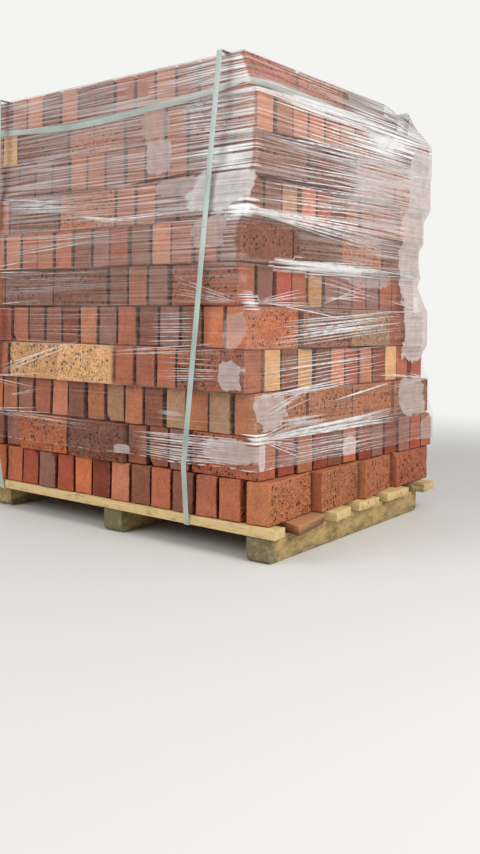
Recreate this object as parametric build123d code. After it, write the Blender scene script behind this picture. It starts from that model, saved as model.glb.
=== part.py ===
from build123d import *
import math
import os

# A pallet of clay bricks: eleven courses of bricks on edge, on six deck boards and three
# bearers, held by flat straps and a wrap of clear stretch film.
# Millimetres, +Z up. The front face looks along -Y, the deck boards run along X and the
# bearers along Y. The origin is the middle of the whole footprint, on the floor.

# Bricks
brick_length = 215.0
brick_height = 104.0        # a brick on edge
upper_brick_height = 96.0   # the bricks of the top courses stand lower
brick_thickness = 67.0
side_gap = 7.0              # mean gap between bricks side by side
end_gap = 10.0              # mean gap between bricks end to end
least_gap = 1.5             # no gap between two bricks of a course is narrower
brick_stray = 5.0           # a face brick stands out of its course by up to this much

# Courses, from the deck up: how far each one sits to the right, and how far back
shift_right = (32, 15, 5, -10, -5, -34, -15, -10, 10, 5, -30)
shift_back = (10, 14, 14, -15, -6, -12, -25, -15, 0, 5, 0)
upper_courses = 2

# How a course is laid: header courses in rows, bonded courses in ranks from left to right,
# H for a rank of headers and S for a rank of stretchers
header_count = 14           # across the front
row_count = 4               # rows of bricks laid front to back
stretcher_count = 12        # in a rank, front to back
bond = "HHSSHHHS"
pushed_front = {(2, 2): 14.0, (2, 3): 16.0, (4, 3): 12.0}  # by course and rank
pushed_right = {(1, 1): 13.0, (1, 3): 15.0, (5, 1): 9.0, (5, 2): 12.0}  # course, row
turned_right = {(1, 0): 6.6, (1, 1): 5.7, (1, 2): 11.0}    # degrees, of the last brick of a row
missing = {(11, 3, 13)}     # course, row and column of a brick that has gone
racked_courses = (1,)       # they were laid along the racked bearers

# Pallet
board_widths = (52.0, 137.0, 95.0, 113.0, 135.0, 88.0)     # from the front
board_gaps = (52.0, 27.0, 55.0, 55.0, 59.0)
board_end_shift = (0.0, 14.0, 0.0, -23.0, -30.0, -18.0)    # each board's place along X
board_end_skew = (6.0, 32.0, 15.0, 2.0, 4.0, 7.0)          # how far out of square its ends are
board_thickness = 24.0
board_length = 1100.0
wane = 9.0                  # the missing lower edge of the second board
flare_length = 75.0         # over this length its front edge widens
flare_width = 26.0
bearer_width = 66.0
bearer_height = 62.0
left_bearer_inset = 18.0    # from the boards' ends, at the front
right_bearer_inset = 24.0
bearer_rack = 2.5           # degrees: the pallet is racked, so its bearers run out of square
bearer_end_insets = {"left": 35.0, "middle": 8.0, "right": 8.0}  # from the deck's front edge
bearer_length = 808.0
middle_bearer_shift = 9.0
bearer_end_round = 16.0     # the worn lower edge at each end of a bearer
load_setback = 0.0          # the load's front face, behind the deck's front edge
load_inset = 73.0           # the load's right face, in from the deck's right edge

# Straps and film
strap_width = 16.0
strap_thickness = 1.0
near_strap_top = 82.0       # where it crosses the top edge, from the load's right face
near_strap_foot = 200.0     # where it goes under the deck
far_strap_top = 930.0
far_strap_clear = 2.0       # between its foot and the left bearer
level_strap_lift = 18.0     # of its middle, above the foot of the top course
film_thickness = 0.6
film_start = 25.0           # the film's lower edge, above the foot of the second course
film_hem = 90.0             # what is folded over the top
wrap_clearance = 0.3        # a strap or the film, from what it lies on


header_course_width = header_count * brick_thickness + (header_count - 1) * side_gap
bonded_course_width = (
    bond.count("S") * brick_length
    + bond.count("H") * brick_thickness
    + (len(bond) - 1) * side_gap
)
load_width = max(header_course_width, bonded_course_width)
load_depth = max(
    row_count * brick_length + (row_count - 1) * end_gap,
    stretcher_count * brick_thickness + (stretcher_count - 1) * side_gap,
)
deck_depth = sum(board_widths) + sum(board_gaps)
deck_top = bearer_height + board_thickness
course_count = len(shift_right)
right_bearer = -right_bearer_inset - bearer_width / 2
left_bearer = -board_length + left_bearer_inset + bearer_width / 2
far_strap_foot = left_bearer + bearer_width / 2 + far_strap_clear + strap_width / 2


def starts(sizes, total, seed):
    """Where bricks of these sizes begin along a line, with uneven gaps that fill it."""
    gap_count = len(sizes) - 1
    spare = total - sum(sizes) - gap_count * least_gap
    weights = [1 + (3 * seed + 5 * index) % 7 for index in range(gap_count)]
    places = [0.0]
    for size, weight in zip(sizes, weights):
        gap = least_gap + spare * weight / sum(weights)
        places.append(places[-1] + size + gap)
    return places


def stray(seed):
    """How far one face brick stands out."""
    return brick_stray * (seed * 5 % 7) / 6


def outward(place, count):
    """Which way a brick may slide: out of the near face, out of the far one, or not at all."""
    if place == 0:
        return -1
    return 1 if place == count - 1 else 0


def header_course(number):
    """The bricks of a course that all run front to back, as in bonded_course."""
    rack = bearer_rack if number in racked_courses else 0.0
    bricks = []
    for row, y in enumerate(starts([brick_length] * row_count, load_depth, number)):
        places = starts([brick_thickness] * header_count, load_width, number + row)
        back = y + brick_length
        for column, x in enumerate(places):
            if (number, row, column) in missing:
                continue
            slide = outward(row, row_count) * stray(number + row + column)
            push, turned = 0.0, rack
            if column == header_count - 1:
                push = pushed_right.get((number, row), 0.0)
                turned = turned_right.get((number, row), rack)
            left = x + push - back * math.tan(math.radians(rack))
            bricks.append((left, back + slide, brick_thickness, brick_length, turned))
    return bricks


def bonded_course(number):
    """The bricks of a course of header and stretcher ranks: for each one its back left
    corner, its width and depth in plan, and how far it is turned."""
    sizes = {"S": brick_length, "H": brick_thickness}
    places = starts([sizes[kind] for kind in bond], load_width, number)
    bricks = []
    for rank, (kind, x) in enumerate(zip(bond, places)):
        if kind == "S":
            count, width, depth = stretcher_count, brick_length, brick_thickness
        else:
            count, width, depth = row_count, brick_thickness, brick_length
        for place, y in enumerate(starts([depth] * count, load_depth, number + rank)):
            x_slide = outward(rank, len(bond)) * stray(number + place)
            y_slide = outward(place, count) * stray(number + rank)
            if place == 0:
                y_slide -= pushed_front.get((number, rank), 0.0)
            bricks.append((x + x_slide, y + depth + y_slide, width, depth, 0.0))
    return bricks


def course_height(number):
    if number > course_count - upper_courses:
        return upper_brick_height
    return brick_height


def course_foot(number):
    return deck_top + sum(course_height(below) for below in range(1, number))


def brick_plan(corner_x, corner_y, width, depth, turned):
    """A brick in plan, by its back left corner, turned in its place."""
    slip = width * math.sin(math.radians(turned)) / 2
    outline = Rectangle(width, depth, align=(Align.MIN, Align.MAX))
    return Pos(corner_x, corner_y - slip) * Rot(0, 0, turned) * outline


def brick_course(number):
    """One course, counted from 1 at the deck, as separate bricks."""
    plan = header_course(number) if number % 2 else bonded_course(number)
    left = -load_inset - load_width + shift_right[number - 1]
    front = load_setback + shift_back[number - 1]
    corner = Pos(left, front, course_foot(number))
    bricks = [extrude(corner * brick_plan(*brick), course_height(number)) for brick in plan]
    return Compound(children=[brick.solid() for brick in bricks])


def board_front(index):
    return sum(board_widths[:index]) + sum(board_gaps[:index])


def deck_board(index):
    """One board with its ends out of square. The second one flares at its right end and
    has a waney lower edge."""
    width = board_widths[index]
    skew = board_end_skew[index]
    flare = flare_width if index == 1 else 0.0
    outline = Polygon(
        (-board_length, 0),
        (-flare_length, 0),
        (0, -flare),
        (-skew, width),
        (-board_length - skew, width),
        align=None,
    )
    board = extrude(outline, board_thickness)
    if index == 1:
        lower_edges = board.edges().group_by(Axis.Z)[0]
        board = chamfer(lower_edges.group_by(Axis.Y)[-1], wane)
    place = Pos(board_end_shift[index], board_front(index), bearer_height)
    return place * board


def bearer(x_middle, end_inset):
    """A sawn bearer whose lower end edges are worn round, turned by the pallet's rack."""
    along = (Align.CENTER, Align.MIN, Align.MIN)
    bar = Box(bearer_width, bearer_length, bearer_height, align=along)
    lower_edges = bar.edges().filter_by(Axis.X).group_by(Axis.Z)[0]
    bar = fillet(lower_edges, bearer_end_round)
    return Pos(x_middle, end_inset, 0) * Rot(0, 0, bearer_rack) * bar


def grown(box, outward, low, high):
    """A block over the plan of a bounding box, grown sideways, between two heights."""
    width = box.max.X - box.min.X + 2 * outward
    depth = box.max.Y - box.min.Y + 2 * outward
    middle = box.center()
    block = Box(width, depth, high - low, align=(Align.CENTER, Align.CENTER, Align.MIN))
    return Pos(middle.X, middle.Y, low) * block


def taut_outline(points):
    """The outline that a band takes when it is pulled tight round these points."""
    ordered = sorted(set(points))

    def half(sequence):
        chain = []
        for point in sequence:
            while len(chain) > 1 and turn(chain[-2], chain[-1], point) <= 1e-6:
                chain.pop()
            chain.append(point)
        return chain[:-1]

    return Polygon(*half(ordered), *half(ordered[::-1]), align=None)


def turn(first, second, third):
    across = (second[0] - first[0]) * (third[1] - first[1])
    return across - (second[1] - first[1]) * (third[0] - first[0])


def band_ring(outline, inward):
    """The section of a strap that lies round an outline at a clearance."""
    outer = offset(outline, inward + strap_thickness, kind=Kind.INTERSECTION)
    inner = offset(outline, inward, kind=Kind.INTERSECTION)
    return outer - inner


def level_outline(courses):
    """What a level strap is pulled tight round: the corners of these courses, in plan."""
    boxes = [course.bounding_box() for course in courses]
    return taut_outline([
        (x, y)
        for box in boxes
        for x in (box.min.X, box.max.X)
        for y in (box.min.Y, box.max.Y)
    ])


def level_strap(outline, height):
    section = Pos(0, 0, height - strap_width / 2) * band_ring(outline, wrap_clearance)
    return extrude(section, strap_width)


def layer(outline, outward, low, high):
    """A block over a grown outline, between two heights."""
    return extrude(Pos(0, 0, low) * offset(outline, outward, kind=Kind.INTERSECTION), high - low)


def film_form(courses, strap_outline, strap_height, outward):
    """The solid that fills the wrapped courses and the level strap, grown outward."""
    form = Part()
    for number, course in enumerate(courses[1:], start=2):
        low = course_foot(number) - outward
        if number == 2:
            low = course_foot(number) + film_start
        form += grown(course.bounding_box(), outward, low, course_foot(number + 1) + outward)
    over_strap = wrap_clearance + strap_thickness + outward
    reach = strap_width / 2 + outward
    return form + layer(strap_outline, over_strap, strap_height - reach, strap_height + reach)


def stretch_film(courses, strap_outline, strap_height):
    """A thin shell that follows the face of each course and is folded in over the top."""
    skin = wrap_clearance + film_thickness
    shell = film_form(courses, strap_outline, strap_height, skin)
    hollow = film_form(courses, strap_outline, strap_height, wrap_clearance)
    top = course_foot(course_count + 1)
    mouth = grown(courses[-1].bounding_box(), -film_hem, top, top + 2 * skin)
    foot = grown(courses[1].bounding_box(), wrap_clearance, course_foot(2), course_foot(3))
    return shell - hollow - mouth - foot


def slanted_strap(pieces, x_top, x_foot):
    """A strap pulled tight round the film and the deck boards, slanting across the front."""
    points = []
    for piece in pieces:
        box = piece.bounding_box()
        for y in (box.min.Y, box.max.Y):
            points += [(y, box.min.Z), (y, box.max.Z)]
    section = Plane.YZ * band_ring(taut_outline(points), wrap_clearance)
    reach = load_width + 2 * load_inset
    loop = extrude(section, reach, both=True)
    low = bearer_height - strap_width
    high = max(height for _, height in points) + strap_width
    lean = (x_top - x_foot) / (high - low)
    half_width = strap_width / 2
    slab_outline = Polygon(
        (x_foot - half_width, low),
        (x_foot + half_width, low),
        (x_top + half_width, high),
        (x_top - half_width, high),
        align=None,
    )
    slab = extrude(Plane.XZ * slab_outline, 2 * deck_depth, both=True)
    return loop & slab


def build():
    courses = {f"brick_course_{number:02d}": brick_course(number) for number in range(1, course_count + 1)}
    boards = {f"deck_board_{index + 1}": deck_board(index) for index in range(len(board_widths))}
    middle_bearer = (left_bearer + right_bearer) / 2 + middle_bearer_shift
    bearer_places = {"left": left_bearer, "middle": middle_bearer, "right": right_bearer}
    bearers = {
        f"bearer_{side}": bearer(x_middle, bearer_end_insets[side])
        for side, x_middle in bearer_places.items()
    }
    stack = list(courses.values())
    strap_height = course_foot(course_count) + level_strap_lift
    strap_outline = level_outline(stack[-1:])
    film = stretch_film(stack, strap_outline, strap_height)
    held = stack + list(boards.values()) + [film]
    straps = {
        "strap_around_top": level_strap(strap_outline, strap_height),
        "strap_near_corner": slanted_strap(
            held, -load_inset - near_strap_top, -load_inset - near_strap_foot
        ),
        "strap_far_side": slanted_strap(
            held, -load_inset - far_strap_top, far_strap_foot
        ),
    }
    return bearers | boards | courses | straps | {"stretch_film": film}


def write(pieces):
    """Each piece goes to its own file, moved so that the footprint's middle is the origin."""
    os.makedirs("parts", exist_ok=True)
    boxes = [piece.bounding_box() for piece in pieces.values()]
    middle_x = (min(box.min.X for box in boxes) + max(box.max.X for box in boxes)) / 2
    middle_y = (min(box.min.Y for box in boxes) + max(box.max.Y for box in boxes)) / 2
    for name, piece in pieces.items():
        export_step(Pos(-middle_x, -middle_y, 0) * piece, f"parts/{name}.step")


write(build())
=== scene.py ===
import math
import random
from functools import partial
import bmesh
import bpy
import numpy as np
from mathutils import Matrix, Vector, noise


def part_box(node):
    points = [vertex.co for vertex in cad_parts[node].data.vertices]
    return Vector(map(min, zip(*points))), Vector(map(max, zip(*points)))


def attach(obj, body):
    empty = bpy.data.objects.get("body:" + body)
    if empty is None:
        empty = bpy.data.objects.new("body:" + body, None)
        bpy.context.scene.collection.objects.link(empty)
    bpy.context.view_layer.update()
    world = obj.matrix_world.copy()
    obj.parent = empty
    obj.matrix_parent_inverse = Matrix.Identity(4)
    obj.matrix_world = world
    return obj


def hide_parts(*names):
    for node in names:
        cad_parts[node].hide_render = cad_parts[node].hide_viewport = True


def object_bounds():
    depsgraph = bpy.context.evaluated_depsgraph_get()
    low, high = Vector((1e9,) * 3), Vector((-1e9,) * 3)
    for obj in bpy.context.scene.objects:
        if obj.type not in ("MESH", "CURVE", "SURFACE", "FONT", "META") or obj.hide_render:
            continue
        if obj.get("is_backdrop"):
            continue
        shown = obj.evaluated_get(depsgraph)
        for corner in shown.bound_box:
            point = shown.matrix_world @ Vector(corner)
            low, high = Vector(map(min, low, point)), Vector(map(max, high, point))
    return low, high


# A pallet of clay bricks: eleven courses of bricks on edge, on six deck boards and three
# bearers, held by flat straps and a wrap of clear stretch film.
# Metres, +Z up. The front face looks along -Y and the right face along +X.

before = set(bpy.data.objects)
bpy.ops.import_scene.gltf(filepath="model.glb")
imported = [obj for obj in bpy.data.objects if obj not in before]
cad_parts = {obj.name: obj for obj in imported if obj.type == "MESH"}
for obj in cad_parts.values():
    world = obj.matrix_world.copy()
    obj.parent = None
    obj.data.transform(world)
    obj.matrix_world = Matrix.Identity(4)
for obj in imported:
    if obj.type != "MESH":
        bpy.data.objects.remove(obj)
cad_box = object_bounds()
same_point = 1e-5            # points nearer to each other than this are merged

# Bricks
brick_size = Vector((0.215, 0.067, 0.104))   # on edge: length, thickness, height
arris_width = 0.0026         # how far its edges are rounded off
face_stray = 0.0022          # how far a vertex of a brick's face may wander
shape_count = 10             # different bricks, each laid many times
cornerless_shapes = (3, 8)   # the ones that have lost a corner
lost_corner = (0.006, 0.007, 0.010)  # how far in the break goes from that corner
break_faces = (0.45, 0.7, 0.55)      # the way that the break looks
clay_lightness = (0.84, 1.12)        # how far bricks of one clay differ
clay_warmth = (0.95, 1.05)
brick_seed = 100             # for the chance that picks the bricks' turns and clays
lay_stray = 0.005            # radians: how far out of line a brick may lie
outer_reach = 0.06           # a brick this near to its course's outline can be seen
course_count = 11

# Film
film_gap = 0.0015            # from the bricks to the film
film_slope = 0.42            # how steeply the taut film comes back to a course that is set in
film_corner = 0.007          # the radius of its bend round a corner of the load
film_step = 0.0095           # between the rows and between the columns of its mesh
film_foot = 0.2155           # the height of its lower edge
film_hem = 0.085             # folded in over the top
film_overlap = 0.16          # where the wrap ends over its own start, by the back left corner
film_drop = 0.046            # how far its top sinks where the corner brick has gone
sunk_from = 1.118            # the height that it sinks from
sunk_reach = (0.21, 0.075, 0.065)    # along the right face, along the back and over the top
foot_wave = 0.006            # how far its foot waves up and down
foot_wave_height = 0.05      # how far up the wave can be seen
patch_power = 3.6            # 2 would make a patch's outline an ellipse, and more makes it squarer
film_lap = 0.0012            # from its start to the layer over it
hem_fray = 0.35              # how unevenly its hem ends, as a share of the hem's width
girth_height = 0.65          # where the way round the load is measured

# Creases in the film
crease_seed = 7
crease_step = 0.035          # between the points along a crease
crease_lift = 0.0005         # how far a crease stands off the film
crease_waver = 0.0012        # how far it wavers up and down
pointed_below = 0.011        # a bundle narrower than this at its start fans out from one place
seen_creases = (45, 0.0014, 0.35)    # loose ones on the front and the right: number, width, white
far_creases = (120, 0.0026, 0.8)     # and on each of the other two sides
fan_size = 5                 # creases in a fan at a corner of the load
bare_corners = 0.4           # the share of the corners that have no fan

# Wood
ring_pitch = 0.0042          # between growth rings
board_side = 0.084           # below this height a board shows its side, and not its top

# Straps
strap_face = 0.01            # a point this near to the level strap's box is on that side of it

# Stage
floor_fade = (1.3, 3.4)      # metres from the middle where the floor turns into the backdrop
sky_strength = 0.55          # how strongly the sky lights the load, where 1 is white

# Where the photograph was taken from
camera_place = (1.7842, -2.1309, 0.5705)
camera_heading = 38.52       # degrees, from +Y towards -X
camera_dip = 0.18
camera_roll = 0.69
camera_lens = 38.12
camera_shift = (0.0062, -0.1211)


def colour(code):
    """A colour written in sRGB, turned linear for a shader."""
    channels = [int(code[place:place + 2], 16) / 255 for place in (1, 3, 5)]
    linear = [c / 12.92 if c <= 0.04045 else ((c + 0.055) / 1.055) ** 2.4 for c in channels]
    return (*linear, 1.0)


backdrop_colour = colour("#f4f4f2")

# Clays, named for how each one fired
clays = {
    "terracotta": colour("#b0664a"),
    "sandy": colour("#b5724e"),
    "orange": colour("#c47049"),
    "light_orange": colour("#ca8062"),
    "red": colour("#a9543e"),
    "dark_red": colour("#8a4332"),
    "brown": colour("#885441"),
    "mauve": colour("#936356"),
    "tan": colour("#b98c69"),
    "yellow": colour("#dfae7c"),
}
usual_clays = (
    "terracotta", "terracotta", "terracotta", "orange", "red", "dark_red", "brown", "sandy", "mauve",
    "light_orange",
)
# Browner clays for the upper courses: partly the film and condensation over them, and partly painted
# shade
dull_and_shaded_clays = (
    "terracotta", "terracotta", "orange", "red", "dark_red", "brown", "brown", "mauve", "light_orange",
)
dull_and_shaded_from = 6                # the first course of these browner clays, partly painted shade

# Bricks that stand out by their clay: by course and face, and by place from the near corner
noticed_clays = {
    (1, "front"): {
        1: "terracotta", 2: "terracotta", 3: "brown", 4: "terracotta", 5: "brown",
        6: "light_orange", 7: "dark_red", 8: "orange", 9: "red", 10: "mauve", 11: "red",
        12: "terracotta", 13: "orange",
    },
    (1, "right"): {0: "sandy", 1: "sandy", 2: "sandy", 3: "terracotta"},
    (2, "front"): {1: "mauve", 2: "brown", 3: "brown", 4: "brown", 5: "orange"},
    (3, "front"): {
        1: "tan", 2: "sandy", 3: "tan", 4: "brown", 5: "sandy", 6: "tan", 7: "sandy", 8: "brown",
        9: "light_orange", 10: "terracotta",
    },
    (3, "right"): {0: "sandy", 1: "sandy", 2: "sandy"},
    (4, "front"): {1: "terracotta", 4: "yellow", 5: "yellow"},
    (4, "right"): {
        1: "yellow", 2: "brown", 3: "yellow", 4: "brown", 5: "light_orange", 7: "light_orange",
        9: "yellow",
    },
    (5, "front"): {1: "orange", 7: "sandy"},
    (5, "right"): {0: "orange", 1: "mauve", 2: "tan"},
    (6, "right"): {0: "terracotta", 1: "mauve", 2: "red", 3: "terracotta", 4: "tan"},
    (7, "front"): {9: "sandy"},
    (7, "right"): {0: "brown"},
    (8, "right"): {0: "brown", 1: "mauve", 2: "tan", 3: "light_orange"},
    (9, "front"): {5: "sandy"},
    (9, "right"): {0: "brown"},
    (10, "front"): {6: "yellow"},
    (10, "right"): {0: "light_orange", 1: "terracotta", 2: "light_orange"},
    (11, "front"): {13: "red"},
}

# How milky the film is over each course from the second up, on the front and on the right face
front_milk = (0.05, 0.05, 0.06, 0.08, 0.15, 0.19, 0.30, 0.33, 0.28, 0.34)
right_milk = (0.17, 0.10, 0.09, 0.13, 0.15, 0.18, 0.18, 0.24, 0.30, 0.22)

# How much more it is near the near corner and far back on the right face, and between which
# heights and runs that comes in
more_milk = 0.30
corner_milk_fade = 0.15
corner_milk_heights = (0.65, 0.80)
far_milk_runs = (0.3, 0.6)
far_milk_heights = (0.68, 0.82)

# Places where the film is unlike the rest: (run, height) of the middle, half sizes, how milky it
# is there and how white. The dull ones are where two layers cling, the bright ones are glare, and
# the clear ones are where it clings so tightly that it can hardly be seen.
film_patches = (
    ((-0.318, 0.985), (0.048, 0.046), 0.46, 0.62),
    ((-0.330, 1.072), (0.056, 0.040), 0.42, 0.45),
    ((-0.372, 1.168), (0.044, 0.022), 0.24, 0.45),
    ((-0.225, 0.902), (0.080, 0.022), 0.44, 0.55),
    ((-0.080, 0.960), (0.085, 0.042), 0.80, 0.95),
    ((-0.090, 0.885), (0.105, 0.055), 0.62, 0.80),
    ((-0.095, 0.785), (0.060, 0.040), 0.46, 0.50),
    ((-0.035, 0.440), (0.036, 0.037), 0.46, 0.70),
    ((-0.045, 0.545), (0.036, 0.045), 0.32, 0.50),
    ((-0.452, 0.225), (0.034, 0.016), 0.50, 0.55),
    ((-0.270, 0.335), (0.055, 0.018), 0.40, 0.95),
    ((0.075, 0.350), (0.068, 0.046), 0.42, 0.75),
    ((0.180, 0.322), (0.120, 0.020), 0.50, 0.95),
    ((0.790, 0.350), (0.085, 0.060), 0.48, 0.60),
    ((0.410, 0.232), (0.036, 0.034), 0.50, 0.80),
    ((0.016, 0.250), (0.013, 0.040), 0.58, 0.72),
    ((-0.075, 0.258), (0.085, 0.032), 0.42, 0.78),
    ((0.870, 0.245), (0.050, 0.040), 0.36, 0.60),
    ((0.840, 0.560), (0.090, 0.110), 0.66, 0.55),
    ((0.850, 0.760), (0.080, 0.200), 0.66, 0.60),
    ((0.840, 0.960), (0.090, 0.140), 0.66, 0.70),
    ((0.380, 0.712), (0.280, 0.022), 0.90, 1.00),
    ((0.090, 0.832), (0.140, 0.009), 0.85, 1.00),
    ((0.004, 0.616), (0.028, 0.020), 0.80, 1.00),
    ((-0.010, 0.834), (0.045, 0.026), 0.85, 1.00),
    ((0.008, 0.292), (0.040, 0.014), 0.80, 1.00),
    ((0.300, 1.122), (0.330, 0.026), 0.85, 1.00),
    ((0.600, 1.085), (0.200, 0.060), 0.90, 1.00),
    ((0.600, 0.696), (0.120, 0.028), 0.34, 0.80),
    ((0.560, 0.950), (0.230, 0.120), 0.50, 0.90),
    ((0.120, 0.762), (0.130, 0.046), 0.07, 0.30),
    ((0.150, 0.660), (0.150, 0.044), 0.07, 0.30),
    ((0.120, 0.560), (0.110, 0.040), 0.06, 0.30),
    ((0.300, 1.190), (0.180, 0.014), 0.14, 0.30),
)

# The level strap: (run, how far it lies above its node's line)
level_strap_line = (
    (-0.93, -0.012), (-0.78, -0.022), (-0.62, -0.031), (-0.50, -0.030), (-0.40, -0.025),
    (-0.24, -0.016), (-0.09, -0.006), (0.0, 0.008), (0.10, 0.016), (0.24, 0.017), (0.43, 0.012),
    (0.65, 0.007), (0.90, 0.0),
)

# Ridges that run round the film: how far they stand out, how many to a metre along and up, how
# they slope, and their layer of noise
film_ridges = ((0.0011, 2.2, 30, 0.06, 3.0), (0.0008, 5.0, 62, -0.04, 8.0))

# Creases drawn in the film, in bundles: (run, low, high) at the start and at the end, how many,
# how wide, and how white, the white partly that of drawn film and partly a painted highlight; those
# under 0 are painted shade, for the shaded backs of folds and the shadow in the joints between courses
drawn_creases = (
    ((0.010, 1.170, 1.208), (0.60, 1.165, 1.208), 8, 0.0024, 0.80),
    ((0.000, 1.112, 1.122), (0.75, 1.095, 1.155), 12, 0.0040, 0.95),
    ((0.080, 1.030, 1.100), (0.76, 1.030, 1.105), 8, 0.0046, 1.00),
    ((0.010, 0.930, 1.025), (0.75, 0.950, 1.040), 9, 0.0052, 1.00),
    ((0.000, 1.018, 1.024), (0.55, 1.000, 1.036), 4, 0.0040, -0.80),
    ((0.000, 0.835, 0.920), (0.78, 0.860, 0.945), 9, 0.0040, 0.90),
    ((0.010, 0.915, 0.921), (0.50, 0.900, 0.925), 4, 0.0040, -0.75),
    ((-0.005, 0.828, 0.838), (0.78, 0.765, 0.850), 11, 0.0044, 1.00),
    ((0.140, 0.705, 0.725), (0.74, 0.695, 0.735), 12, 0.0034, 1.00),
    ((0.280, 0.660, 0.700), (0.66, 0.625, 0.650), 4, 0.0028, 0.90),
    ((0.280, 0.605, 0.640), (0.62, 0.690, 0.620), 4, 0.0028, 0.90),
    ((0.020, 0.612, 0.618), (0.30, 0.600, 0.660), 7, 0.0026, 0.85),
    ((0.045, 0.616, 0.616), (0.47, 0.574, 0.574), 1, 0.0040, 1.00),
    ((0.040, 0.505, 0.570), (0.76, 0.550, 0.605), 11, 0.0044, 1.00),
    ((0.000, 0.384, 0.390), (0.57, 0.400, 0.420), 4, 0.0046, 1.00),
    ((0.040, 0.400, 0.480), (0.74, 0.440, 0.510), 9, 0.0034, 0.90),
    ((0.020, 0.330, 0.350), (0.30, 0.380, 0.420), 5, 0.0036, 0.85),
    ((0.350, 0.358, 0.362), (0.69, 0.395, 0.400), 2, 0.0044, 1.00),
    ((0.005, 0.288, 0.294), (0.75, 0.282, 0.325), 12, 0.0042, 1.00),
    ((0.020, 0.220, 0.274), (0.68, 0.222, 0.275), 9, 0.0026, 0.80),
    ((0.005, 0.290, 0.294), (0.20, 0.225, 0.330), 10, 0.0030, 0.90),
    ((-0.840, 1.140, 1.200), (-0.34, 1.142, 1.208), 8, 0.0018, 0.40),
    ((-0.230, 1.140, 1.200), (-0.02, 1.143, 1.208), 9, 0.0032, 0.85),
    ((-0.260, 1.140, 1.205), (-0.06, 1.143, 1.208), 7, 0.0030, -0.70),
    ((-0.280, 1.035, 1.118), (0.00, 1.026, 1.116), 13, 0.0036, 0.95),
    ((-0.270, 1.030, 1.118), (-0.01, 1.026, 1.112), 11, 0.0036, -0.85),
    ((-0.250, 0.945, 1.025), (-0.02, 0.950, 1.024), 9, 0.0030, 0.80),
    ((-0.250, 0.960, 1.022), (-0.10, 0.965, 1.022), 7, 0.0030, -0.75),
    ((-0.970, 0.955, 1.033), (-0.63, 0.960, 1.035), 8, 0.0022, 0.60),
    ((-0.960, 0.880, 0.925), (-0.55, 0.860, 0.895), 12, 0.0030, 0.85),
    ((-0.800, 0.922, 0.926), (-0.42, 0.916, 0.922), 3, 0.0050, -0.65),
    ((-0.420, 0.916, 0.924), (-0.12, 0.930, 0.938), 4, 0.0050, -0.75),
    ((-0.600, 0.845, 0.855), (-0.36, 0.820, 0.830), 4, 0.0030, 0.90),
    ((-0.530, 0.828, 0.836), (-0.12, 0.838, 0.848), 5, 0.0030, 0.90),
    ((-0.900, 0.790, 0.800), (-0.27, 0.790, 0.800), 3, 0.0024, 0.85),
    ((-0.900, 0.750, 0.760), (-0.50, 0.778, 0.786), 2, 0.0024, 0.80),
    ((-0.940, 0.400, 0.440), (-0.55, 0.500, 0.512), 5, 0.0034, 0.90),
    ((-0.960, 0.335, 0.345), (-0.73, 0.365, 0.375), 2, 0.0030, 0.85),
    ((-0.960, 0.285, 0.295), (-0.55, 0.275, 0.290), 3, 0.0030, 0.60),
    ((-0.490, 0.475, 0.490), (-0.03, 0.490, 0.520), 6, 0.0024, 0.75),
    ((-0.280, 0.410, 0.480), (-0.04, 0.425, 0.475), 9, 0.0024, 0.75),
    ((-0.360, 0.515, 0.590), (-0.12, 0.520, 0.595), 9, 0.0024, 0.80),
    ((-0.420, 0.222, 0.285), (0.00, 0.220, 0.292), 13, 0.0040, 1.00),
    ((-0.230, 0.610, 0.690), (0.00, 0.612, 0.618), 8, 0.0022, 0.80),
    ((-0.950, 0.520, 0.600), (-0.30, 0.530, 0.600), 6, 0.0018, 0.50),
    ((-0.950, 0.640, 0.700), (-0.40, 0.650, 0.700), 8, 0.0020, 0.50),
)


def deselect_all():
    bpy.ops.object.select_all(action="DESELECT")


def select_only(*chosen):
    deselect_all()
    for obj in chosen:
        obj.select_set(True)
    bpy.context.view_layer.objects.active = chosen[0]


def apply_modifier(obj, kind, **settings):
    """Adds a modifier with these settings and applies it."""
    modifier = obj.modifiers.new(kind.lower(), kind)
    for name, value in settings.items():
        setattr(modifier, name, value)
    select_only(obj)
    bpy.ops.object.modifier_apply(modifier=modifier.name)


def soften_edges(piece, width, sharper_than, segments=2, **settings):
    """Rounds the edges that are sharper than an angle in degrees."""
    angle = math.radians(sharper_than)
    settings.update(width=width, segments=segments, limit_method="ANGLE", angle_limit=angle)
    apply_modifier(piece, "BEVEL", **settings)


def stand_for(piece, node_name):
    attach(piece, "root")
    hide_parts(node_name)


def dress(piece, node_name, material, smooth_below):
    """Smooths a worked piece, gives it its material and lets it stand for its node."""
    select_only(piece)
    bpy.ops.object.shade_smooth_by_angle(angle=math.radians(smooth_below))
    piece.data.materials.append(material)
    stand_for(piece, node_name)


def share_between(value, low, high):
    """How far a value has gone from low to high, from 0 to 1."""
    return min(1.0, max(0.0, (value - low) / (high - low)))


def mixed(first, second, share):
    return tuple(a + (b - a) * share for a, b in zip(first, second))


def node_box(name):
    low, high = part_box(name)
    return Vector(low), Vector(high)


def store(mesh, name, kind, domain, values):
    """Writes a named attribute of a mesh: a value for each point or face."""
    field = {"FLOAT": "value", "FLOAT_VECTOR": "vector", "FLOAT_COLOR": "color"}[kind]
    attribute = mesh.attributes.get(name) or mesh.attributes.new(name, kind, domain)
    attribute.data.foreach_set(field, np.array(values, dtype=np.float32).ravel())


def feed(node, inputs):
    """Gives a node's inputs their values or other nodes' outputs, in order or by socket. A Mix has
    its factor at 0 and what it mixes at 2 and 3 for numbers, or at 6 and 7 for colours."""
    pairs = inputs.items() if isinstance(inputs, dict) else enumerate(inputs)
    for socket, given in pairs:
        if isinstance(given, bpy.types.NodeSocket):
            node.id_data.links.new(given, node.inputs[socket])
        else:
            node.inputs[socket].default_value = given


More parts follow.
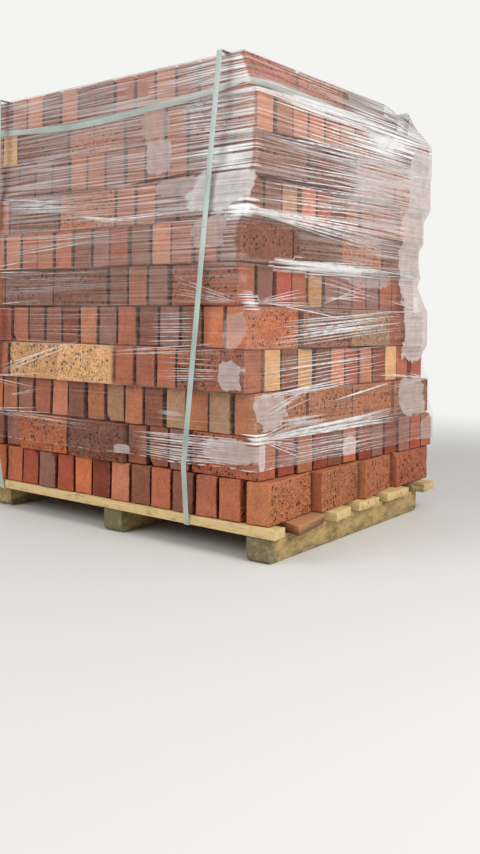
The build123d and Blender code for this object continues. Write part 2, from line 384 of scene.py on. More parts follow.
def add_node(tree, kind, inputs=(), out=0, **settings):
    """Adds a shader node with its settings and its inputs, and gives one of its outputs."""
    node = tree.nodes.new("ShaderNode" + kind)
    for name, value in settings.items():
        setattr(node, name, value)
    feed(node, inputs)
    return node.outputs[out]


def new_material(name):
    """A material, the function that adds a node to it, and its shader."""
    material = bpy.data.materials.new(name)
    material.use_nodes = True
    tree = material.node_tree
    return material, partial(add_node, tree), tree.nodes["Principled BSDF"]


# Bricks


def bare_brick(name):
    """A box a little smaller than a brick, centred on the origin."""
    deselect_all()
    bpy.ops.mesh.primitive_cube_add(size=1, scale=brick_size - Vector((face_stray,) * 3))
    bpy.ops.object.transform_apply(location=False, rotation=False, scale=True)
    brick = bpy.context.object
    brick.name = name
    return brick


def brick_shape(seed):
    """One brick on edge, with uneven faces and soft arrises, and on some a lost corner."""
    brick = bare_brick(f"brick_shape_{seed}")
    bpy.ops.object.mode_set(mode="EDIT")
    bpy.ops.mesh.subdivide(number_cuts=1)
    bpy.ops.transform.vertex_random(offset=face_stray, uniform=0.0, normal=0.0, seed=seed)
    if seed in cornerless_shapes:
        bpy.ops.mesh.bisect(
            plane_co=brick_size / 2 - Vector(lost_corner),
            plane_no=break_faces,
            use_fill=True,
            clear_outer=True,
        )
    bpy.ops.object.mode_set(mode="OBJECT")
    keep_within(brick.data, brick_size / 2)
    bpy.ops.object.shade_smooth()
    soften_edges(brick, arris_width, sharper_than=40, segments=1, harden_normals=True)
    mark_faces(brick)
    return brick


def keep_within(mesh, reach):
    """Brings back each point that strays further than this from the middle."""
    for vertex in mesh.vertices:
        vertex.co = [max(-most, min(most, value)) for value, most in zip(vertex.co, reach)]


def plain_brick():
    """A brick from the middle of the stack, with only its arrises softened."""
    brick = bare_brick("brick_shape_plain")
    apply_modifier(brick, "BEVEL", width=arris_width, segments=1)
    mark_faces(brick)
    return brick


def mark_faces(brick):
    """Stores where each point lies on the brick, and which faces are beds."""
    mesh = brick.data
    places = [vertex.co.copy() for vertex in mesh.vertices]
    beds = [1.0 if abs(face.normal.y) > 0.8 else 0.0 for face in mesh.polygons]
    store(mesh, "from_middle", "FLOAT_VECTOR", "POINT", places)
    store(mesh, "bed", "FLOAT", "FACE", beds)


def loose_bricks(node):
    """Each separate brick in a course of the frame, as its middle, its size and its turn."""
    mesh = bmesh.new()
    mesh.from_mesh(node.data)
    bmesh.ops.remove_doubles(mesh, verts=mesh.verts, dist=same_point)
    unseen = set(mesh.verts)
    bricks = []
    for start in mesh.verts:
        if start not in unseen:
            continue
        unseen.remove(start)
        group = [start]
        for vertex in group:
            for edge in vertex.link_edges:
                other = edge.other_vert(vertex)
                if other in unseen:
                    unseen.remove(other)
                    group.append(other)
        bricks.append(brick_place([vertex.co.copy() for vertex in group]))
    mesh.free()
    return sorted(bricks, key=lambda brick: (round(brick[0].y, 4), round(brick[0].x, 4)))


def brick_place(corners):
    """The middle, size and turn of a brick with these corners."""
    middle = sum(corners, Vector()) / len(corners)
    foot = [corner for corner in corners if corner.z < middle.z]
    near_left = min(foot, key=lambda corner: corner.x + corner.y)
    across = max(foot, key=lambda corner: corner.x - corner.y) - near_left
    along = max(foot, key=lambda corner: corner.y - corner.x) - near_left
    size = Vector((across.length, along.length, 2 * (middle.z - near_left.z)))
    return middle, size, math.atan2(across.y, across.x)


def laid_brick(shape, place, clay, chance):
    """A copy of a brick shape, laid in its place and turned end for end or over by chance."""
    middle, size, turn = place
    mesh = shape.data.copy()
    if size.y > size.x:
        turn += math.pi / 2
    turn += math.pi * chance.randrange(2) + chance.uniform(-lay_stray, lay_stray)
    over = Matrix.Rotation(math.pi * chance.randrange(2), 4, "X")
    fit = Matrix.Diagonal((1, 1, size.z / brick_size.z, 1))
    mesh.transform(Matrix.Translation(middle) @ Matrix.Rotation(turn, 4, "Z") @ fit @ over)
    shift = Vector([chance.uniform(0, 40) for _ in range(3)])
    places = [item.vector + shift for item in mesh.attributes["from_middle"].data]
    store(mesh, "on_brick", "FLOAT_VECTOR", "POINT", places)
    store(mesh, "clay", "FLOAT_COLOR", "POINT", [clay] * len(places))
    brick = bpy.data.objects.new(shape.name, mesh)
    bpy.context.collection.objects.link(brick)
    return brick


def toned(clay, chance):
    """A clay's colour, made a little lighter or darker and warmer or cooler."""
    light = chance.uniform(*clay_lightness)
    warm = chance.uniform(*clay_warmth)
    return (min(1.0, clay[0] * light * warm), clay[1] * light, clay[2] * light / warm, 1.0)


def face_places(bricks, low, high):
    """The face that each outer brick shows, and its place there from the near corner."""
    front = [
        index for index, (middle, size, _) in enumerate(bricks)
        if middle.y - size.y / 2 < low.y + outer_reach
    ]
    right = [
        index for index, (middle, size, _) in enumerate(bricks)
        if middle.x + size.x / 2 > high.x - outer_reach
    ]
    front.sort(key=lambda index: -bricks[index][0].x)
    right.sort(key=lambda index: bricks[index][0].y)
    places = {index: ("front", place) for place, index in enumerate(front)}
    places.update({index: ("right", place) for place, index in enumerate(right)})
    return places


def hidden_brick(place, low, high):
    """Whether a brick lies well inside the outline of its course."""
    middle, size, _ = place
    return all(
        middle[axis] - size[axis] / 2 > low[axis] + outer_reach
        and middle[axis] + size[axis] / 2 < high[axis] - outer_reach
        for axis in range(2)
    )


def lay_course(number, shapes, plain, material):
    """All the bricks of one course as one piece that stands for its node."""
    node_name = f"brick_course_{number:02d}"
    low, high = node_box(node_name)
    places = loose_bricks(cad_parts[node_name])
    faces = face_places(places, low, high)
    chance = random.Random(brick_seed + number)
    # the upper courses take the browner clays, partly as painted shade
    usual = dull_and_shaded_clays if number >= dull_and_shaded_from else usual_clays
    bricks = []
    for index, place in enumerate(places):
        hidden = number < course_count and hidden_brick(place, low, high)
        shape = plain if hidden else shapes[(7 * number + index) % len(shapes)]
        face, from_corner = faces.get(index, ("", 0))
        clay_name = noticed_clays.get((number, face), {}).get(from_corner) or chance.choice(usual)
        bricks.append(laid_brick(shape, place, toned(clays[clay_name], chance), chance))
    select_only(*bricks)
    bpy.ops.object.join()
    course = bpy.context.object
    course.name = f"bricks_of_course_{number:02d}"
    course.data.materials.clear()
    course.data.materials.append(material)
    stand_for(course, node_name)
    return course


def fired_clay():
    """Brick clay pressed in a sanded mould and fired: matt, clouded, its beds pitted by the sand."""
    material, add, shader = new_material("fired_clay_pressed")
    place = add("Attribute", out="Vector", attribute_name="on_brick")
    clay = add("Attribute", out="Color", attribute_name="clay")
    bed = add("Attribute", out="Fac", attribute_name="bed")
    middle = add("Attribute", out="Vector", attribute_name="from_middle")
    # clouds of lighter and darker firing, about 50 mm across
    clouds = add("TexNoise", {"Vector": place, "Scale": 20.0, "Detail": 4.0, "Roughness": 0.6})
    tone = add("MapRange", (clouds, 0.3, 0.7, 0.82, 1.15))
    # grit of about 2 mm
    grit = add("TexNoise", {"Vector": place, "Scale": 500.0, "Detail": 2.0, "Roughness": 0.6})
    grit_tone = add("MapRange", (grit, 0.35, 0.7, 0.86, 1.1))
    # lighter and darker sand mottles the clay, 6 to 10 mm across and most on the beds
    mottle = add("TexNoise", {"Vector": place, "Scale": 130.0, "Detail": 3.0, "Roughness": 0.7})
    mottle_tone = add("MapRange", (mottle, 0.35, 0.65, -0.28, 0.30))
    sandy = add("MapRange", (bed, 0.0, 1.0, 0.55, 1.0))
    bed_tone = add("Math", (mottle_tone, sandy, 1.0), operation="MULTIPLY_ADD")
    # painted shade: the narrow joints between the bricks are darkened where the course's own bricks hide
    # them from the light
    joint_occlusion = add("AmbientOcclusion", {"Distance": 0.018}, out="AO", samples=5, only_local=True)
    painted_joint_shade = add("MapRange", (joint_occlusion, 0.25, 0.8, 0.16, 1.0))
    for factor in (grit_tone, bed_tone, painted_joint_shade):
        tone = add("Math", (tone, factor), operation="MULTIPLY")
    shaded = add("VectorMath", {0: clay, "Scale": tone}, operation="SCALE")
    # pits 3 to 8 mm across left by coarse sand, with uneven edges
    wander = add("TexNoise", {"Vector": place, "Scale": 240.0, "Detail": 1.0}, out="Color")
    bent = add("VectorMath", (wander, (0.008, 0.008, 0.008), place), operation="MULTIPLY_ADD")
    from_cell = add("TexVoronoi", {"Vector": bent, "Scale": 105.0})
    lot = add("SeparateColor", (from_cell.node.outputs["Color"],))
    reach = add("MapRange", (lot, 0.25, 1.0, 0.0, 0.54))
    depth = add("Math", (reach, from_cell), operation="SUBTRACT")
    coarse_pit = add("MapRange", (depth, 0.0, 0.10))
    # and fine ones of 2 to 3 mm, close together
    specks = add("TexNoise", {"Vector": place, "Scale": 330.0, "Detail": 2.0, "Roughness": 0.55})
    fine_pit = add("MapRange", (specks, 0.555, 0.64, 0.0, 0.85))
    pit = add("Math", (coarse_pit, fine_pit), operation="MAXIMUM")
    bed_pit = add("Math", (pit, bed), operation="MULTIPLY")
    # a little paler dust where the arrises are rubbed: near two of the brick's faces at once
    outward = add("VectorMath", (middle,), operation="ABSOLUTE")
    rub_start, rub_end = (brick_size / 2 - Vector((inset,) * 3) for inset in (0.007, 0.002))
    near = add("MapRange", {6: outward, 7: rub_start, 8: rub_end}, out=1, data_type="FLOAT_VECTOR")
    x, y, z = add("SeparateXYZ", (near,)).node.outputs
    edges = [add("Math", pair, operation="MULTIPLY") for pair in ((x, y), (y, z), (x, z))]
    arris = add("Math", edges[:2], operation="MAXIMUM")
    arris = add("Math", (arris, edges[2]), operation="MAXIMUM")
    patchy = add("MapRange", (mottle, 0.5, 0.7, 0.0, 0.4))
    rubbed = add("Math", (arris, patchy), operation="MULTIPLY")
    dusty = add("Mix", {0: rubbed, 6: shaded, 7: colour("#cf9676")}, out=2, data_type="RGBA")
    # the pits are drawn far darker than the clay around them
    pit_tone = add("MapRange", (bed_pit, 0.0, 1.0, 1.0, 0.17))
    pitted = add("VectorMath", {0: dusty, "Scale": pit_tone}, operation="SCALE")
    relief = add("Math", (grit, mottle, 0.25), operation="MULTIPLY_ADD")
    sunk = add("Math", (relief, bed_pit), operation="SUBTRACT")
    bump = add("Bump", {"Strength": 0.9, "Distance": 0.0016, "Height": sunk})
    feed(shader, {"Base Color": pitted, "Roughness": 0.88, "Specular IOR Level": 0.25, "Normal": bump})
    return material


# Wood


def working_copy(node_name, name):
    """A merged copy of a CAD piece with flat faces, ready to be worked further."""
    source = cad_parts[node_name]
    piece = bpy.data.objects.new(name, source.data.copy())
    bpy.context.collection.objects.link(piece)
    piece.data.materials.clear()
    select_only(piece)
    bpy.ops.object.mode_set(mode="EDIT")
    bpy.ops.mesh.select_all(action="SELECT")
    bpy.ops.mesh.remove_doubles(threshold=same_point)
    bpy.ops.mesh.dissolve_limited(angle_limit=math.radians(1))
    bpy.ops.object.mode_set(mode="OBJECT")
    return piece


def cut_across(piece, axis, spacing):
    """Bisects a piece at even steps along an axis, so that it can bow and wear."""
    low = min(vertex.co[axis] for vertex in piece.data.vertices)
    high = max(vertex.co[axis] for vertex in piece.data.vertices)
    count = max(1, round((high - low) / spacing))
    normal = [1.0 if index == axis else 0.0 for index in range(3)]
    select_only(piece)
    bpy.ops.object.mode_set(mode="EDIT")
    for index in range(1, count):
        place = [0.0, 0.0, 0.0]
        place[axis] = low + (high - low) * index / count
        bpy.ops.mesh.select_all(action="SELECT")
        bpy.ops.mesh.bisect(plane_co=place, plane_no=normal, use_fill=False, clear_outer=False)
    bpy.ops.object.mode_set(mode="OBJECT")


def mark_wood(piece, along, tone, mould, seed):
    """Stores each point's place along and across the grain, its tone and how mouldy it is."""
    mesh = piece.data
    chance = random.Random(seed)
    shift = Vector([chance.uniform(0, 30) for _ in range(3)])
    middle = sum((vertex.co for vertex in mesh.vertices), Vector()) / len(mesh.vertices)
    pith = Vector((0.0, chance.uniform(-0.03, 0.03), chance.uniform(0.03, 0.09)))
    places = []
    for vertex in mesh.vertices:
        place = vertex.co - middle
        if along == 1:
            place = Vector((place.y, place.x, place.z))
        places.append((place.x + shift.x, place.y + pith.y, place.z + pith.z))
    store(mesh, "in_grain", "FLOAT_VECTOR", "POINT", places)
    store(mesh, "wood_tone", "FLOAT_COLOR", "POINT", [tone(vertex.co) for vertex in mesh.vertices])
    store(mesh, "mould", "FLOAT", "POINT", [mould(vertex.co) for vertex in mesh.vertices])


def wear(piece, depth, size, seed):
    """Moves the points of a sawn piece in by a slow noise, as handling and drying do."""
    mesh = piece.data
    shift = Vector((seed * 3.1, seed * 1.7, seed * 0.9))
    outward = [vertex.normal.copy() for vertex in mesh.vertices]
    for vertex, out in zip(mesh.vertices, outward):
        amount = noise.noise(vertex.co / size + shift)
        vertex.co -= out * depth * (0.5 + 0.5 * amount)


def board_tone(index):
    """The colour of a board at a place. The second one is red-brown towards its right end, and
    dark on its sides: partly wet wood and partly painted shade."""
    pale = colour("#dfc48c")
    reddish = colour("#c08a5f")
    wet_and_shaded_side = colour("#6b3d29")

    def tone(place):
        if index != 2:
            return pale
        red_end = mixed(pale, reddish, share_between(place.x, 0.1, 0.4))
        # below board_side the board is darkened: partly wet wood, partly painted shade
        return mixed(red_end, wet_and_shaded_side, share_between(board_side - place.z, 0.0, 0.003))

    return tone


def board_mould(index):
    """How mouldy a board is: the last one most, along its front side."""

    def mould(place):
        if index == 6:
            return 0.75 * share_between(0.40 - place.y, 0.0, 0.04)
        return 0.35 if index in (4, 5) and place.z < 0.08 else 0.12

    return mould


def bearer_tone(_):
    """The colour of a bearer, the same at every place."""
    return colour("#bfa46c")


def bearer_mould(place):
    """How mouldy a bearer is: most at its damp foot and on its front end."""
    foot = 0.6 * share_between(0.040 - place.z, 0.0, 0.03)
    end = 0.9 * share_between(-0.395 - place.y, 0.0, 0.02)
    return max(foot, end, 0.3)


def saw_board(index, material):
    node_name = f"deck_board_{index}"
    board = working_copy(node_name, f"sawn_board_{index}")
    cut_across(board, axis=0, spacing=0.06)
    soften_edges(board, width=0.0018, sharper_than=30)
    wear(board, depth=0.0014, size=0.07, seed=index)
    mark_wood(board, 0, board_tone(index), board_mould(index), index)
    dress(board, node_name, material, smooth_below=32)


def saw_bearer(side, seed, material):
    node_name = f"bearer_{side}"
    bearer = working_copy(node_name, f"sawn_bearer_{side}")
    soften_edges(bearer, width=0.0022, sharper_than=30)
    cut_across(bearer, axis=1, spacing=0.05)
    cut_across(bearer, axis=2, spacing=0.008)
    wear(bearer, depth=0.0016, size=0.05, seed=seed)
    mark_wood(bearer, 1, bearer_tone, bearer_mould, seed)
    dress(bearer, node_name, material, smooth_below=32)


def sawn_softwood():
    """Spruce off the saw: pale, with darker growth rings that run the length of each piece."""
    material, add, shader = new_material("spruce_sawn")
    place = add("Attribute", out="Vector", attribute_name="in_grain")
    tone = add("Attribute", out="Color", attribute_name="wood_tone")
    # the tree's own wander, slow along the grain
    stretched = add("Mapping", {"Vector": place, "Scale": (2.2, 22.0, 22.0)})
    wander = add("TexNoise", {"Vector": stretched, "Scale": 1.0, "Detail": 3.0})
    flat = add("Mapping", {"Vector": place, "Scale": (0.0, 1.0, 1.0)})
    radius = add("VectorMath", (flat,), out="Value", operation="LENGTH")
    bent = add("Math", (wander, 0.03, radius), operation="MULTIPLY_ADD")
    rings = add("Math", (bent, 1 / ring_pitch), operation="MULTIPLY")
    year = add("Math", (rings,), operation="FRACT")
    late = add("MapRange", (year, 0.35, 0.9), interpolation_type="SMOOTHSTEP")
    # saw fibres, under a millimetre wide and drawn at 1.5 mm so that they show
    fibre_place = add("Mapping", {"Vector": place, "Scale": (14.0, 640.0, 640.0)})
    fibres = add("TexNoise", {"Vector": fibre_place, "Scale": 1.0, "Detail": 2.0})
    ring_share = add("Math", (late, 0.24), operation="MULTIPLY")
    ringed = add("Mix", {0: ring_share, 6: tone, 7: colour("#a8733f")}, out=2, data_type="RGBA")
    fibre_tone = add("MapRange", (fibres, 0.3, 0.7, 0.86, 1.08))
    fibred = add("VectorMath", {0: ringed, "Scale": fibre_tone}, operation="SCALE")
    # mould in grey-green blots a finger across, with specks in them
    mould = add("Attribute", out="Fac", attribute_name="mould")
    blot_place = add("Mapping", {"Vector": place, "Scale": (24.0, 52.0, 52.0)})
    blots = add("TexNoise", {"Vector": blot_place, "Scale": 1.0, "Detail": 7.0, "Roughness": 0.72})
    spread = add("Math", (mould, 0.34, blots), operation="MULTIPLY_ADD")
    stain = add("MapRange", (spread, 0.56, 0.80, 0.0, 0.85))
    stained = add("Mix", {0: stain, 6: fibred, 7: colour("#5f5b45")}, out=2, data_type="RGBA")
    relief = add("Math", (fibres, late), operation="ADD")
    bump = add("Bump", {"Strength": 0.6, "Distance": 0.0006, "Height": relief})
    feed(shader, {"Base Color": stained, "Roughness": 0.78, "Normal": bump})
    return material


# Straps


def strap_plastic():
    """Polypropylene strapping, rolled with a fine waffle: pale green-grey, softly shiny."""
    material, add, shader = new_material("polypropylene_rolled")
    place = add("TexCoord", out="Object")
    # the waffle is 1.5 mm on real strapping and is drawn at 3 mm so that it shows
    waffle = add("TexChecker", {"Vector": place, "Scale": 330.0}, out="Fac")
    cloud = add("TexNoise", {"Vector": place, "Scale": 9.0, "Detail": 3.0})
    dirt = add("MapRange", (cloud, 0.35, 0.75))
    clean, dusty = colour("#b7c6be"), colour("#93a29a")
    tint = add("Mix", {0: dirt, 6: clean, 7: dusty}, out=2, data_type="RGBA")
    bump = add("Bump", {"Strength": 0.35, "Distance": 0.0003, "Height": waffle})
    feed(shader, {"Base Color": tint, "Roughness": 0.42, "Normal": bump})
    return material


def lay_strap(node_name, name, material, settle=None):
    """A strap as its node has it, with its edges softened, and its points let settle."""
    strap = working_copy(node_name, name)
    if settle:
        for axis in (0, 1):
            cut_across(strap, axis, spacing=0.035)
        for vertex in strap.data.vertices:
            vertex.co = settle(vertex.co)
    soften_edges(strap, width=0.0003, sharper_than=40)
    dress(strap, node_name, material, smooth_below=30)


def level_strap_rise(place):
    """How far the level strap lies above its node's line at a place on it."""
    low, high = node_box("strap_around_top")
    if place.x > high.x - strap_face:
        run = place.y - low.y
    elif place.y < low.y + strap_face:
        run = place.x - high.x
    elif place.x < low.x + strap_face:
        return level_strap_line[0][1] * share_between(high.y - place.y, 0.0, high.y - low.y)
    else:
        return 0.0
    return np.interp(run, *zip(*level_strap_line))


def settle_level_strap(place):
    """Moves a point of the level strap to its height, and in to stay under the film in front."""
    low, _ = node_box("strap_around_top")
    height = place.z + level_strap_rise(place)
    inward = 0.0
    if place.y < low.y + strap_face:
        inward = max(0.0, film_reach(height)[2] - film_reach(place.z)[2])
    return Vector((place.x, place.y + inward, height))


# Film


def film_reach(height):
    """The taut film's outline at a height, as (left, right, front, back)."""
    outlines = []
    for low, high in wrapped_boxes:
        away = max(low.z - height, height - high.z, 0.0) * film_slope - film_gap
        outlines.append((low.x + away, high.x - away, low.y + away, high.y - away))
    left, right, front, back = zip(*outlines)
    return min(left), max(right), min(front), max(back)


def film_column(side, share, reach):
    """A point of the outline, and the way out from it, on a side or round the corner after it.
    Sides 0 to 3 are the left, front, right and back. A share over 1 is round the corner."""
    left, right, front, back = reach
    r = film_corner
    corners = ((left, back), (left, front), (right, front), (right, back), (left, back))
    runs = ((0, -1), (1, 0), (0, 1), (-1, 0))
    outs = ((-1, 0), (0, -1), (1, 0), (0, 1))
    start, end = Vector(corners[side]), Vector(corners[side + 1])
    run, out = Vector(runs[side]), Vector(outs[side])
    if share <= 1:
        return start.lerp(end, share) + run * (r - 2 * r * share), out
    turned = (share - 1) * math.pi / 2
    centre = end - run * r - out * r
    way = out * math.cos(turned) + run * math.sin(turned)
    return centre + way * r, way


def side_runs():
    """Where each of the four sides starts and how long it is, in metres round from the near corner."""
    left, right, front, back = film_reach(girth_height)
    lengths = (back - front, right - left, back - front, right - left)
    starts = (-lengths[0] - lengths[1], -lengths[1], 0.0, lengths[2])
    return list(zip(starts, lengths))


def film_columns():
    """(side, share, run) of each column: run is the way round from the near corner, in metres."""
    columns = []
    for side, (start, length) in enumerate(film_sides):
        count = round(length / film_step)
        columns += [(side, step / count, start + length * step / count) for step in range(count + 1)]
        columns += [(side, 1 + step / 4, start + length) for step in (1, 2, 3)]
    end = sum(film_sides[3])
    first_length = film_sides[0][1]
    over = round(film_overlap / film_step)
    columns += [(0, step * film_step / first_length, end + step * film_step) for step in range(over)]
    return columns


def film_rows():
    """(height, inset) of each row, from the foot up and then in over the top edge."""
    count = round((film_top - film_foot) / film_step)
    rows = [(film_foot + (film_top - film_foot) * step / count, 0.0) for step in range(count)]
    rows += [(film_top, 0.004)]
    rows += [(film_top + 0.0003, inset * film_hem) for inset in (0.15, 0.3, 0.45, 0.6, 0.8, 1.0)]
    return rows


def film_ripple(run, height):
    """How far the film stands out from the load, in long low ridges that run round it."""
    ripple = 0.0
    for out, along, up, slope, layer in film_ridges:
        ridge = noise.noise(Vector((run * along, (height + slope * run) * up, layer)))
        ripple += out * max(0.0, ridge)
    return ripple


def side_at(run):
    """The side of the load at a run: 0 to 3 for the left, front, right and back."""
    return max(index for index in range(4) if index == 0 or run >= film_sides[index][0])


def film_level(run, height, inset=0.0):
    """Where a height on the film comes to lie: its foot waves, and it sinks where a brick has gone."""
    at_foot = share_between(film_foot + foot_wave_height - height, 0, foot_wave_height)
    wave = foot_wave * noise.noise(Vector((run * 6, 0.0, 5.0))) * at_foot
    corner = film_sides[3][0]
    before, after, over = sunk_reach
    past = share_between(run, corner, corner + after)
    along = min(share_between(run, corner - before, corner), 1 - past)
    up = share_between(height, sunk_from, film_top)
    return height + wave - film_drop * along * up * (1 - share_between(inset, 0.0, over))


def film_milk(run, height):
    """How milky the film is at a place: more near the near corner, and far back on the right."""
    if side_at(run) == 1:
        more = more_milk * math.exp(run / corner_milk_fade) * share_between(height, *corner_milk_heights)
        return np.interp(height, wrapped_middles, front_milk) + more
    more = more_milk * share_between(run, *far_milk_runs) * share_between(height, *far_milk_heights)
    return np.interp(height, wrapped_middles, right_milk) + more


def film_cling_and_glare(run, height):
    """The patch nearest to a place, of those where layers cling and those of painted glare: how far
    inside it the place is, its milkiness and its whiteness.
    """
    nearest = (-9.0, 0.0, 0.0)
    for (run_middle, height_middle), (half_run, half_height), milk, white in film_patches:
        across = abs(run - run_middle) / half_run
        up = abs(height - height_middle) / half_height
        inside = 1.0 - (across ** patch_power + up ** patch_power) ** (1 / patch_power)
        nearest = max(nearest, (inside, milk, white))
    return nearest


def wrap_film(material):
    """The stretch film: one open sheet round the load whose end lies over its start."""
    columns = film_columns()
    rows = film_rows()
    deselect_all()
    bpy.ops.mesh.primitive_grid_add(
        x_subdivisions=len(columns) - 1, y_subdivisions=len(rows) - 1, size=1
    )
    film = bpy.context.object
    film.name = "wrap_of_stretch_film"
    mesh = film.data
    reaches = [film_reach(height) for height, _ in rows]
    milk, cling_and_glare, on_film = [], [], []
    for index, vertex in enumerate(mesh.vertices):
        side, share, run = columns[index % len(columns)]
        height, inset = rows[index // len(columns)]
        place, out = film_column(side, share, reaches[index // len(columns)])
        lap = film_lap if run > sum(film_sides[3]) else 0.0
        ripple = 0.0 if inset else film_ripple(run, height)
        frayed = inset * (1.0 + hem_fray * noise.noise(Vector((run * 9, 2.0, 0.0))))
        place = place + out * (ripple + lap - frayed)
        vertex.co = (place.x, place.y, film_level(run, height, inset) + lap)
        milk.append(film_milk(run, height))
        cling_and_glare.append(film_cling_and_glare(run, height))
        on_film.append((run, height + inset, 0.0))
    store(mesh, "milk", "FLOAT", "POINT", milk)
    store(mesh, "cling_and_glare", "FLOAT_VECTOR", "POINT", cling_and_glare)
    store(mesh, "on_film", "FLOAT_VECTOR", "POINT", on_film)
    select_only(film)
    bpy.ops.object.shade_smooth()
    mesh.materials.append(material)
    stand_for(film, "stretch_film")
    flat_width = rows[-1][0] - rows[0][0] + film_hem
    flat_length = columns[-1][2] - columns[0][2]
    return film, (flat_width, flat_length)


def film_spot(run, height, lift):
    """The point at a place on the film, this far off its outer face."""
    side = side_at(run)
    start, length = film_sides[side]
    place, out = film_column(side, share_between(run, start, start + length), film_reach(height))
    place = place + out * (film_ripple(run, height) + lift)
    return place.x, place.y, film_level(run, height)


def bundled_creases(chance):
    """(start, end, width, strength) of each crease of the bundles."""
    for (run_0, low_0, high_0), (run_1, low_1, high_1), count, width, strength in drawn_creases:
        length = run_1 - run_0
        pointed = high_0 - low_0 < pointed_below
        for index in range(count):
            share = (index + chance.uniform(0.1, 0.9)) / count
            begin = run_0 + (0.0 if pointed else length * chance.uniform(0.0, 0.15))
            end = run_1 - length * chance.uniform(0.0, 0.2)
            yield (
                (begin, low_0 + (high_0 - low_0) * share),
                (end, low_1 + (high_1 - low_1) * share),
                width * chance.uniform(0.5, 1.1),
                strength * chance.uniform(0.5, 1.0),
            )


def usual_creases(chance):
    """Loose creases on every side, thicker and closer together on the left and at the back."""
    for side, (start, length) in enumerate(film_sides):
        count, width, strength = seen_creases if side in (1, 2) else far_creases
        for _ in range(count):
            begin = chance.uniform(0.0, 0.7) * length
            end = min(length, begin + chance.uniform(0.15, 0.6) * length)
            height = chance.uniform(film_foot + 0.02, film_top - 0.02)
            rise = chance.uniform(-0.018, 0.018)
            yield (
                (start + begin, height),
                (start + end, min(film_top - 0.004, max(film_foot + 0.004, height + rise))),
                width * chance.uniform(0.6, 1.2),
                strength * chance.uniform(0.4, 1.0),
            )


def corner_fans(chance):
    """Creases that fan out from the corners of the load where two courses meet, but for the near
    corner, whose creases are drawn in bundles."""
    for side, (start, length) in enumerate(film_sides):
        for low, _ in wrapped_boxes[1:-1]:
            for end, way in ((start, 1), (start + length, -1)):
                if (side, way) in ((1, -1), (2, 1)) or chance.random() < bare_corners:
                    continue
                for _ in range(fan_size):
                    away = end + way * chance.uniform(0.12, 0.36)
                    far = (away, low.z + chance.uniform(-0.03, 0.03))
                    yield (*sorted(((end, low.z), far)), 0.0024, chance.uniform(0.4, 0.9))


def foot_creases(chance):
    """The broken white line of the film's lower edge."""
    level = film_foot + 0.0018
    run = film_sides[0][0]
    while run < sum(film_sides[3]) - 0.05:
        length = chance.uniform(0.02, 0.05)
        strength = chance.uniform(0.5, 0.95) if -0.35 < run < 0.05 else chance.uniform(0.1, 0.4)
        yield (run, level), (run + length, level), 0.0034, strength
        run += length * chance.uniform(1.0, 1.5)


def crease_points(crease, wander):
    """The points and strengths of one crease: a ribbon that narrows at both ends."""
    (run_0, height_0), (run_1, height_1), width, strength = crease
    count = max(3, round((run_1 - run_0) / crease_step))
    points, strengths = [], []
    for step in range(count + 1):
        share = step / count
        run = run_0 + (run_1 - run_0) * share
        waver = crease_waver * math.sin(wander + 11 * run)
        height = height_0 + (height_1 - height_0) * share + waver
        taper = math.sqrt(max(0.03, math.sin(math.pi * share)))
        for edge in (-0.5, 0.5):
            level = min(film_top, max(film_foot, height + edge * width * taper))
            points.append(film_spot(run, level, crease_lift))
            strengths.append((strength * taper, run, height))
    return points, strengths


def draw_creases(material):
    """Every crease in the film, as one piece of narrow ribbons that lie on it."""
    chance = random.Random(crease_seed)
    creases = []
    for made_creases in (bundled_creases, usual_creases, corner_fans, foot_creases):
        creases += made_creases(chance)
    points, strengths, faces = [], [], []
    for crease in creases:
        first = len(points)
        more_points, more_strengths = crease_points(crease, chance.uniform(0.0, 6.3))
        points += more_points
        strengths += more_strengths
        for index in range(first, len(points) - 2, 2):
            faces.append((index, index + 2, index + 3, index + 1))
    mesh = bpy.data.meshes.new("creases_drawn_in_the_film")
    mesh.from_pydata(points, [], faces)
    store(mesh, "crease", "FLOAT_VECTOR", "POINT", strengths)
    mesh.materials.append(material)
    drawn = bpy.data.objects.new(mesh.name, mesh)
    bpy.context.collection.objects.link(drawn)
    stand_for(drawn, "stretch_film")
    return drawn


